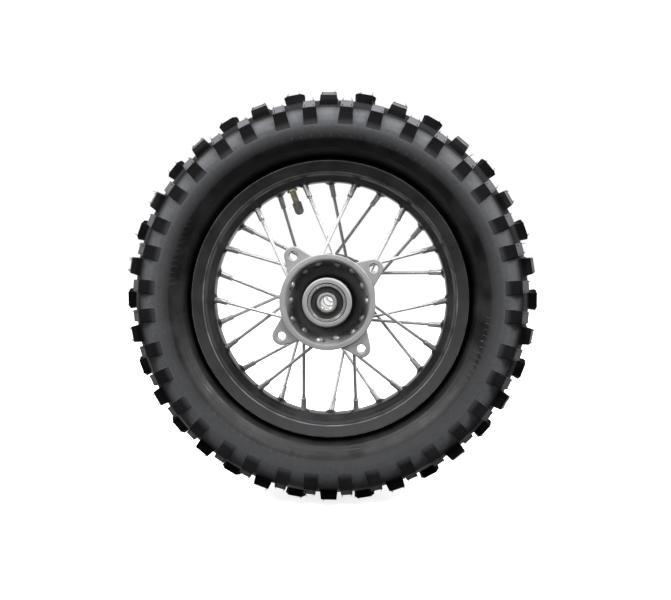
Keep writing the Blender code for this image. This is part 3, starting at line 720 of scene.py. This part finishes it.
# The tube's butyl is black under patches of grey talc. The band's extruded rubber is matt black and
# picks up only a faint bloom of it.
rubbers = {}
for name, base, dusted, rough in (
    ("talced_butyl_rubber", "#1d1d1e", "#5a5a58", 0.6),
    ("extruded_band_rubber", "#202020", "#3c3c3a", 0.7),
):
    rubbers[name], tree, spot = new_finish(name)
    talc = add(tree, "TexNoise", {0: spot, "Scale": 1000 / TALC_MM, "Detail": 8.0})
    dusting = add(tree, "MapRange", {0: talc, 1: 0.45, 2: 0.75, 3: 0.0, 4: 0.8})
    colour = add(tree, "Mix", {0: dusting, 6: base, 7: dusted}, data_type="RGBA")
    bsdf = add(tree, "BsdfPrincipled", {"Base Color": colour, "Roughness": rough})
    add(tree, "OutputMaterial", {0: bsdf})

band_shell = turned(rounded(mirrored(BAND_HALF)), 168)
strip = make_piece("nipple_band", [band_shell], rubbers["extruded_band_rubber"])
tube_shell = turned(rounded(mirrored(TUBE_HALF), 5), 120)
tube = make_piece("inflated_tube", [tube_shell], rubbers["talced_butyl_rubber"])
wall = tube.modifiers.new("wall", "SOLIDIFY")
wall.thickness, wall.offset = TUBE_WALL * MM, -1.0
for rubber_ring, slot, node in ((strip, "rim_strip", "rim_strip"), (tube, "inner_tube", "inner_tube")):
    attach(rubber_ring, "wheel")
    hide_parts(node)

# ======== valve
# A turned brass stem bonded into the tube, threaded outside, with a hexagon nut against the rim, a
# screwed-in core with a sprung pin, and a black plastic dust cap over its end.
STEM_TIP, STEM_FOOT = 94.0, 130.4
STEM_RADIUS = 3.5
THREAD_PITCH = 0.9  # the real thread is 0.8
THREAD_DEPTH = 0.35
THREAD_END = 127.0
NUT_SPAN = (114.9, 117.4)
NUT_CORNER = 5.4
NUT_ROUND = 4.6  # inside this radius the nut is round
CAP_SPAN = (91.0, 103.6)
CAP_RIBS = 24
RIB_DEPTH = 0.035  # as a share of the radius
RIBBED = (3.85, 4.65)  # radii of the cap's ribbed body
CORE_OUTLINE = [(95.0, 0.85), (95.0, 1.7), (95.4, 2.0), (109.6, 2.0), (110.0, 1.6), (110.0, 0.85)]
PIN_PROFILE = [
    (94.2, 0.0), (94.2, 0.45), (94.4, 0.5), (110.4, 0.5), (110.5, 1.4), (111.3, 1.4), (111.3, 0.0),
]
TARNISH_MM = 4.0
SPARK_MM = 0.5  # coarser than the real grain, so that it shows

# Turned brass, a little tarnished: a pale, blotched olive-gold with a soft gloss.
brass, tree, spot = new_finish("turned_brass")
tarnish = add(tree, "TexNoise", {0: spot, "Scale": 1000 / TARNISH_MM, "Detail": 5.0})
tone = add(tree, "MapRange", {0: tarnish, 1: 0.35, 2: 0.65})
colour = add(tree, "Mix", {0: tone, 6: "#b5b094", 7: "#d6d2bd"}, data_type="RGBA")
bsdf = add(tree, "BsdfPrincipled", {"Base Color": colour, "Metallic": 0.55, "Roughness": 0.36})
add(tree, "OutputMaterial", {0: bsdf})

# Injection-moulded black plastic, faded to grey by daylight, with a light spark-eroded grain.
cap_plastic, tree, spot = new_finish("moulded_black_plastic")
spark = add(tree, "TexNoise", {0: spot, "Scale": 1000 / SPARK_MM, "Detail": 2.0})
texture = add(tree, "Bump", {"Height": spark, "Strength": 0.3, "Distance": 0.05 * MM})
bsdf = add(tree, "BsdfPrincipled", {"Base Color": "#838381", "Roughness": 0.45, "Normal": texture})
add(tree, "OutputMaterial", {0: bsdf})


def tube_along(outline, sides, shape=None):
    """A closed (distance, radius) outline turned about the valve's axis, with a factor on the
    radius at each angle where a shape is given: a hexagon, or the cap's ribs."""
    distance, radius = np.asarray(outline, float).T
    angle = np.linspace(0, 2 * np.pi, sides, endpoint=False)[:, None]
    factor = 1.0 if shape is None else shape(angle, radius)
    across, up = np.array([0.0, 1.0, 0.0]), np.cross(valve_run, [0.0, 1.0, 0.0])
    ring = (radius * factor * np.cos(angle))[..., None] * across
    ring = ring + (radius * factor * np.sin(angle))[..., None] * up
    return grid(distance[:, None] * valve_run + ring, True, True)


crests = np.arange(STEM_TIP + 1.0, THREAD_END, THREAD_PITCH)
thread = np.stack([
    np.repeat(crests, 2) + np.tile([0.0, THREAD_PITCH / 2], len(crests)),
    STEM_RADIUS - np.tile([0.0, THREAD_DEPTH], len(crests)),
], -1)
stem_outline = np.concatenate([
    [(STEM_TIP, 2.3), (STEM_TIP, 3.1)], thread,
    [(128.0, 3.4), (128.4, 5.0), (STEM_FOOT, 5.0), (STEM_FOOT, 2.3)],
])
nut_low, nut_high = NUT_SPAN
nut_outline = [
    (nut_low, 3.6), (nut_low, 4.5), (nut_low + 0.5, NUT_CORNER), (nut_high - 0.5, NUT_CORNER),
    (nut_high, 4.5), (nut_high, 3.6),
]
cap_low, cap_high = CAP_SPAN
cap_outline = [
    (cap_low, 0.02), (cap_low, 1.4), (cap_low + 0.3, 2.5), (cap_low + 0.9, 3.4), (cap_low + 1.9, 4.1),
    (cap_low + 3.2, 4.55), (cap_high - 4.2, 4.58), (cap_high - 3.8, 4.7), (cap_high - 0.5, 4.7),
    (cap_high, 4.45), (cap_high, 3.8), (cap_low + 1.6, 3.8), (cap_low + 1.6, 0.02),
]


def hexagon(angle, radius):
    """cos 30 / cos(angle to the nearest flat) on the nut's outside, and round in its bore."""
    off = (angle + np.pi / 6) % (np.pi / 3) - np.pi / 6
    return np.where(radius > NUT_ROUND, np.cos(np.pi / 6) / np.cos(off), 1.0)


def ribs(angle, radius):
    """Shallow grip ribs, 1 - depth * (1 + cos(n a)), on the cap's body only."""
    body = (radius > RIBBED[0]) & (radius < RIBBED[1])
    return np.where(body, 1 - RIB_DEPTH * (1 + np.cos(CAP_RIBS * angle)), 1.0)


stem, nut = tube_along(stem_outline, 40), tube_along(nut_outline, 48, hexagon)
core, pin = tube_along(CORE_OUTLINE, 24), spindle(PIN_PROFILE, [0, 0, 0], valve_run, 12)
cap = tube_along(cap_outline, CAP_RIBS * 4, ribs)
valve_pieces = (
    ("threaded_stem", stem, brass, "wheel", "valve_brass", "valve_stem"),
    ("hexagon_nut", nut, brass, "wheel", "valve_brass", "valve_rim_nut"),
    ("core_barrel", core, brass, "wheel", "valve_brass", "valve_core"),
    ("core_pin", pin, brass, "valve_pin", "valve_brass", "valve_pin"),
    ("dust_cap", cap, cap_plastic, "valve_cap", "valve_cap", "valve_cap"),
)
for name, shell, finish, body, slot, node in valve_pieces:
    made = make_piece(name, [shell], finish, sharp=30.0)
    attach(made, body)
    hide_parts(node)

# ======== tyre
# A 3.00-10 off-road tyre, compression moulded in black rubber over a cord casing: a row of wide
# centre knobs, side knobs between them and square shoulder knobs, all with vent whiskers left on.
TYRE_STEPS = 288
TREAD_ROWS = 18
TREAD_PITCH = 360 / TREAD_ROWS
CASING_OUTSIDE = [
    (127.5, 8.0, 0.0), (127.5, 17.4, 1.6), (130.2, 19.6, 1.2), (139.6, 19.4, 1.6), (143.2, 24.6, 2.4),
    (147.4, 31.6, 3.6), (156.0, 38.5, 5.0), (168.0, 41.3, 5.0), (179.0, 39.4, 4.6), (188.0, 33.5, 4.6),
    (194.6, 22.0, 5.5), (198.4, 8.0, 5.0), (198.9, 1.5, 0.0),
]
CASING_INSIDE = [
    (193.5, 1.5, 0.0), (193.5, 7.5, 4.0), (188.6, 20.0, 5.0), (180.0, 31.0, 5.0), (168.0, 36.2, 5.0),
    (154.0, 32.2, 5.0), (138.0, 18.6, 4.0), (132.0, 13.6, 1.5), (127.5, 11.0, 0.5),
]
BEAD_RIBS = ((145.4, 0.4), (149.2, 0.35))  # (radius, height) of the rings moulded on the sidewall
RIB_SECTION = np.array([(-1.0, 0.0), (-0.45, 1.0), (0.45, 1.0), (1.0, 0.0)])  # (across, height share)
RIB_CLEAR = 0.6  # the casing's own points this near to a ring's corners are left out
BEAD_END = 137.0  # past this radius its points are put in order of radius
# Knob sections: corners of (radius, distance from the centre plane, how far the corner is rounded).
CENTRE_KNOB = [
    (192.5, -13.2, 0.2), (206.2, -11.0, 0.6), (206.2, -4.5, 0.4), (206.2, 4.5, 0.4), (206.2, 11.0, 0.6),
    (192.5, 13.2, 0.2), (192.5, 4.5, 0.2), (192.5, -4.5, 0.2),
]
SIDE_KNOB = [(189.0, 13.4, 0.2), (204.6, 15.3, 0.6), (199.8, 28.5, 0.7), (184.5, 31.6, 0.2)]
SHOULDER_KNOB = [
    (181.0, 33.0, 0.2), (194.2, 33.2, 0.6), (186.6, 41.9, 0.7), (170.0, 40.8, 0.8), (168.0, 37.5, 0.2),
]
SHOULDER_PLACES = (0.225, 0.775)  # where the shoulder knobs stand, as shares of the pitch
# Half a knob's width: (at its top, narrowing to its ends, draft for each millimetre down its flanks).
CENTRE_WIDTH = (10.4, 3.4, 0.13)
SIDE_WIDTH = (7.4, 0.0, 0.1)
SHOULDER_WIDTH = (5.7, 0.0, 0.06)
NARROWS = (4.5, 11.0)  # between these distances from the centre plane
# Across a knob: (place from one flank to the other, share of the section), so its edges are rounded.
KNOB_ROWS = np.array([
    (-1.0, 0.0), (-1.0, 0.94), (-0.98, 0.98), (-0.93, 1.0),
    (0.93, 1.0), (0.98, 0.98), (1.0, 0.94), (1.0, 0.0),
])
# Where whiskers stand on a knob: (radius, distance from the centre plane, degrees off its middle).
CENTRE_WHISKERS = [(206.0, 10.4, 1.7), (206.0, 10.4, -1.7)]
SIDE_WHISKERS = [(203.8, 16.3, 1.75), (203.8, 16.3, -1.75), (199.8, 27.4, 1.75), (199.8, 27.4, -1.75)]
SHOULDER_WHISKERS = [(193.3, 34.0, 1.4), (193.3, 34.0, -1.4), (187.2, 40.8, 1.4), (187.2, 40.8, -1.4)]
WHISKERS_LEFT = 0.82  # the share that hasn't worn or torn off
WHISKER_LENGTHS = (1.8, 4.2)
WHISKER_PROFILE = np.array([(-0.25, 0.0), (-0.25, 0.42), (0.5, 0.34), (1.0, 0.0)])  # (share, radius)
# Groups of bars on each sidewall: (first angle, count, pitch, low radius, high radius).
SIDEWALL_BARS = (
    (55.0, 16, 3.4, 151.5, 161.5), (150.0, 12, 2.2, 152.0, 157.0),
    (222.0, 14, 3.0, 151.5, 159.5), (330.0, 12, 2.2, 152.0, 157.0),
)
BAR_HALF_ANGLE, BAR_HEIGHT = 0.42, 0.22


def knobs(section, widths, angles, side):
    """Knobs of one kind. A section in (radius, y) is carried from flank to flank, angle = centre +
    u * half / r, where half = top - narrowing * narrowed + draft * (highest r - r). It shrinks
    towards its middle at the flanks, to round their edges."""
    outline = rounded(section, 3)
    middle = outline.mean(0)
    u, share = KNOB_ROWS[:, 0, None], KNOB_ROWS[:, 1, None]
    top, narrowing, draft = widths
    narrowed = np.clip((abs(outline[:, 1]) - NARROWS[0]) / (NARROWS[1] - NARROWS[0]), 0, 1)
    half = top - narrowing * narrowed + draft * (np.max(section, 0)[0] - outline[:, 0])
    half = np.degrees(half / outline[:, 0])
    half = np.where(share > 0, half, half.mean())
    radius = middle[0] + share * (outline[:, 0] - middle[0])
    y = side * (middle[1] + share * (outline[:, 1] - middle[1]))
    angle = np.asarray(angles)[:, None, None] + u * half
    return grid(round_axle(radius, angle, y), wrap_columns=True)


def whiskers(corners, angles, side, chance):
    """Vent whiskers: thin tapering hairs, p = base + length * (s * run + s |s| * bend), rooted in
    the knob's corners, each with its own length and lean."""
    radius, y, off = np.asarray(corners, float).T
    base = round_axle(radius, (np.asarray(angles)[:, None] + off), side * y).reshape(-1, 3)
    off = np.broadcast_to(off, (len(angles), len(off))).ravel()
    keep = chance.random(len(base)) < WHISKERS_LEFT
    base, off = base[keep], off[keep]
    outward = unit(base * [1, 0, 1])
    forward = np.cross(outward, [0.0, -1.0, 0.0])
    sideways = np.sign(base[:, 1:2]) * np.array([[0.0, 1.0, 0.0]])
    run = outward + forward * np.sign(off)[:, None] * chance.uniform(0.1, 0.8, (len(base), 1))
    run = unit(run + sideways * chance.uniform(0.0, 0.7, (len(base), 1)))
    bend = chance.normal(0, 0.22, (len(base), 3))
    length = chance.uniform(*WHISKER_LENGTHS, (len(base), 1, 1, 1))
    across = unit(np.cross(run, chance.normal(0, 1, (len(base), 3))))
    up = np.cross(run, across)
    s, thick = WHISKER_PROFILE.T[:, None, :, None, None]
    turn = np.radians(np.arange(4) * 90.0)[None, None, :, None]
    path = base[:, None, None] + length * (s * run[:, None, None] + s * abs(s) * bend[:, None, None])
    points = path + thick * (np.cos(turn) * across[:, None, None] + np.sin(turn) * up[:, None, None])
    return grid(points, wrap_columns=True)


def sidewall_bars(angles, low, high, side, outline):
    """Plain raised bars lying on the sidewall: the casing's own curve between two radii, lifted by
    height * (1 - u^4)(1 - v^4), on a foot sunk just under the skin."""
    radius = np.linspace(low, high, 7)
    skin = np.interp(radius, outline[:, 0], outline[:, 1])
    v = np.linspace(-1, 1, 7)
    u = np.array([-1.0, -0.8, -0.5, 0.5, 0.8, 1.0])[:, None]
    lift = BAR_HEIGHT * (1 - u ** 4) * (1 - v ** 4)
    top = side * (skin + lift - 0.05)
    foot = side * (skin - 0.6 + 0 * u)
    angle = np.asarray(angles)[:, None, None] + BAR_HALF_ANGLE * u + 0 * v
    upper = round_axle(radius, angle, top)
    lower = round_axle(radius, angle, foot)
    ring = np.concatenate([upper, lower[:, ::-1]], 1)
    ends = np.concatenate([ring[..., :1, :], ring, ring[..., -1:, :]], -2)
    ends[..., 0, :] = lower[:, :1, :1, :].mean((1, 2))[:, None]
    ends[..., -1, :] = lower[:, -1:, -1:, :].mean((1, 2))[:, None]
    return grid(ends, wrap_rows=True)


# Moulded tread rubber: charcoal black with a dull bloom. Dust and painted light grey the faces turned
# outward, the shoulder between the knobs and the tops of the shoulder knobs, and the crown between
# the knobs is left dark as painted shade; the sidewall is sleeker and blotchy, with a fine mould grain.
BLOTCH_MM = 26.0
DUST_MM = 3.0
MOULD_GRAIN_MM = 1.1
LEANS_OVER = (158.0, 198.0)  # radii over which a face may lean further and still catch dust and painted light
DUST_STOPS_FOR_SHADE = (181.0, 187.5)  # radii over which the dust ends, leaving painted shade between the knobs
TOP_SLOPE = 0.874  # a shoulder knob's top lies where radius + slope * depth reaches TOP_REACH
TOP_REACH = (219.6, 221.2)
RIM_SHADE = (142.0, 145.0)
PAST_BULGE = (170.0, 177.0)
tread_rubber, tree, spot = new_finish("moulded_tread_rubber")
facing = add(tree, "TexCoord").outputs["Normal"]
radius = measured(tree, spot, FROM_AXLE)
depth = measured(tree, spot, FROM_CENTRE)
outward = add(tree, "VectorMath", {0: spot, 1: FROM_AXLE}, operation="MULTIPLY")
outward = add(tree, "VectorMath", {0: outward}, operation="NORMALIZE")
faces_out = add(tree, "VectorMath", {0: outward, 1: facing}, operation="DOT_PRODUCT")
lower = add(tree, "MapRange", {0: radius, 1: LEANS_OVER[0], 2: LEANS_OVER[1], 3: 0.4, 4: -0.4})
leaning = add(tree, "Math", {0: faces_out, 1: lower}, operation="ADD")
# dust and painted light on the faces turned outward
faces_out_dust_and_light = add(tree, "MapRange", {0: leaning, 1: -0.02, 2: 0.3})
# painted shade: no dust or light on the crown between the knobs
dust_until_crown_shade = add(tree, "MapRange", {0: radius, 1: DUST_STOPS_FOR_SHADE[0], 2: DUST_STOPS_FOR_SHADE[1], 3: 1.0, 4: 0.04})
reach = add(tree, "Math", {0: depth, 1: TOP_SLOPE, 2: radius}, operation="MULTIPLY_ADD")
knob_top_dust_and_light = add(tree, "MapRange", {0: reach, 1: TOP_REACH[0], 2: TOP_REACH[1], 3: 0.0, 4: 0.85})
shown = add(tree, "Math", {0: dust_until_crown_shade, 1: knob_top_dust_and_light}, operation="MAXIMUM")
dust_and_light = add(tree, "Math", {0: faces_out_dust_and_light, 1: shown}, operation="MULTIPLY")
blotch = add(tree, "TexNoise", {0: spot, "Scale": 1000 / BLOTCH_MM, "Detail": 4.0})
dust = add(tree, "TexNoise", {0: spot, "Scale": 1000 / DUST_MM, "Detail": 6.0})
grain = add(tree, "TexNoise", {0: spot, "Scale": 1000 / MOULD_GRAIN_MM, "Detail": 2.0})
dust_share = add(tree, "MapRange", {0: dust, 1: 0.3, 2: 0.7, 3: 0.72, 4: 1.0})
dust_and_light_share = add(tree, "Math", {0: dust_and_light, 1: dust_share}, operation="MULTIPLY")
base = add(tree, "MapRange", {0: blotch, 1: 0.35, 2: 0.65})
rubber_colour = add(tree, "Mix", {0: base, 6: "#0f0f10", 7: "#1a1a1c"}, data_type="RGBA")
# dust and painted light: a pale grey mixed onto the rubber
dusted = add(tree, "Mix", {0: dust_and_light_share, 6: rubber_colour, 7: "#5c5d61"}, data_type="RGBA")
# painted shade: near black in the groove next to the rim, with its sheen taken down too
rim_groove_shade = add(tree, "MapRange", {0: radius, 1: RIM_SHADE[0], 2: RIM_SHADE[1], 3: 0.9, 4: 0.0})
colour = add(tree, "Mix", {0: rim_groove_shade, 6: dusted, 7: "#030303"}, data_type="RGBA")
shine = add(tree, "MapRange", {0: rim_groove_shade, 1: 0.0, 2: 0.9, 3: 0.5, 4: 0.08})
shaded = add(tree, "MapRange", {0: shown, 1: 0.04, 2: 0.85, 3: 0.1, 4: 1.0})
shine = add(tree, "Math", {0: shine, 1: shaded}, operation="MULTIPLY")
# painted shade on the sheen: it is damped on faces turned away past the bulge
past_bulge = add(tree, "MapRange", {0: radius, 1: PAST_BULGE[0], 2: PAST_BULGE[1]})
faces_not_out = add(tree, "Math", {0: 1.0, 1: faces_out_dust_and_light}, operation="SUBTRACT")
in_shade = add(tree, "Math", {0: past_bulge, 1: faces_not_out}, operation="MULTIPLY")
sheen_shade = add(tree, "MapRange", {0: in_shade, 1: 0.0, 2: 1.0, 3: 1.0, 4: 0.2})
shine = add(tree, "Math", {0: shine, 1: sheen_shade}, operation="MULTIPLY")
sleek = add(tree, "MapRange", {0: blotch, 1: 0.35, 2: 0.65, 3: 0.34, 4: 0.66})
gloss = add(tree, "Mix", {0: dust_and_light_share, 2: sleek, 3: 0.78})
relief = add(tree, "Math", {0: dust, 1: grain}, operation="ADD")
swell = add(tree, "Bump", {"Height": blotch, "Strength": 0.5, "Distance": 0.9 * MM})
mould = add(tree, "Bump", {"Height": relief, "Strength": 0.3, "Distance": 0.15 * MM, "Normal": swell})
bsdf = add(tree, "BsdfPrincipled", {
    "Base Color": colour, "Roughness": gloss, "Normal": mould, "Specular IOR Level": shine,
})
add(tree, "OutputMaterial", {0: bsdf})

skin = rounded(CASING_OUTSIDE, 4, closed=False)
across, share = RIB_SECTION.T
rib_radius = np.concatenate([centre + across for centre, _ in BEAD_RIBS])
rib_lift = np.concatenate([height * share for _, height in BEAD_RIBS])
rib_y = np.interp(rib_radius, skin[:, 0], skin[:, 1]) + rib_lift
clear = np.abs(skin[:, :1] - rib_radius).min(1) > RIB_CLEAR
outside = np.concatenate([skin[clear], np.stack([rib_radius, rib_y], -1)])
bead, wall = outside[outside[:, 0] <= BEAD_END], outside[outside[:, 0] > BEAD_END]
outside = np.concatenate([bead, wall[np.argsort(wall[:, 0])]])
# The outside runs bead to crown and the lining crown to bead, so the two halves close the ring.
lining = rounded(CASING_INSIDE, 4, closed=False)
casing_outline = np.concatenate([outside * [1, -1], outside[::-1], lining[::-1], lining * [1, -1]])

rows = np.arange(TREAD_ROWS) * TREAD_PITCH
random_draw = np.random.default_rng(28)
tyre_shells = [turned(casing_outline, TYRE_STEPS)]
tyre_shells.append(knobs(CENTRE_KNOB, CENTRE_WIDTH, rows, 1.0))
for side in (1.0, -1.0):
    tyre_shells.append(whiskers(CENTRE_WHISKERS, rows, side, random_draw))
for side in (-1.0, 1.0):
    between = rows + TREAD_PITCH / 2
    tyre_shells.append(knobs(SIDE_KNOB, SIDE_WIDTH, between, side))
    tyre_shells.append(whiskers(SIDE_WHISKERS, between, side, random_draw))
    for share in SHOULDER_PLACES:
        at = rows + TREAD_PITCH * share
        tyre_shells.append(knobs(SHOULDER_KNOB, SHOULDER_WIDTH, at, side))
        tyre_shells.append(whiskers(SHOULDER_WHISKERS, at, side, random_draw))
    for first, count, pitch, low, high in SIDEWALL_BARS:
        tyre_shells.append(sidewall_bars(first + np.arange(count) * pitch, low, high, side, skin))
box_low, box_high = (np.array(corner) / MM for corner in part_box("tyre"))
tyre_shells = [(np.clip(points, box_low, box_high), quads) for points, quads in tyre_shells]
tyre = make_piece("knobbly_tyre", tyre_shells, tread_rubber, sharp=42.0)
flatten_shading(tyre)
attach(tyre, "wheel")
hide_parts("tyre")
